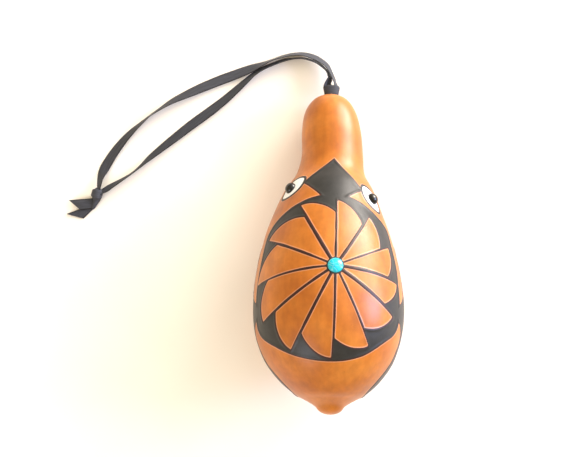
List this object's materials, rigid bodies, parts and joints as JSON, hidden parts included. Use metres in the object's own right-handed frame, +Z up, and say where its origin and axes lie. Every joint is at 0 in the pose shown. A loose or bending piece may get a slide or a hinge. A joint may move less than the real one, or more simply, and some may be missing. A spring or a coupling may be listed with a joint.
{
  "type": "painted gourd ornament",
  "caption": "Dried bottle gourd painted with a whirl-wheel creature, with a turquoise hub, bead eyes and a knotted hanging ribbon, lying on its back.",
  "frame": {"origin": "middle of the small flat spot under the belly that the gourd rests on, at table level", "axes": "+Z up, +Y along the table from the blossom end towards the stem end, +X to the right of someone who stands at the blossom end and looks at the stem end"},
  "size_m": [0.1504, 0.1583, 0.0645],
  "materials": {
    "gourd_skin": "dyed and varnished dried gourd shell with burnt lines and painted figure",
    "turquoise": "polished cabochon",
    "black_bead": "opaque glossy black",
    "brass_wire": "drawn wire",
    "satin_ribbon": "black polyester satin"
  },
  "bodies": {
    "root": {"gourd": "gourd_skin", "hub_cabochon": "turquoise", "bead_eye_left": "black_bead", "bead_eye_right": "black_bead", "screw_eye": "brass_wire", "ribbon_hitch": "satin_ribbon", "ribbon_strand_outer": "satin_ribbon", "ribbon_strand_inner": "satin_ribbon", "ribbon_knot": "satin_ribbon", "ribbon_tail_upper": "satin_ribbon", "ribbon_tail_lower": "satin_ribbon"}
  },
  "joints": []
}
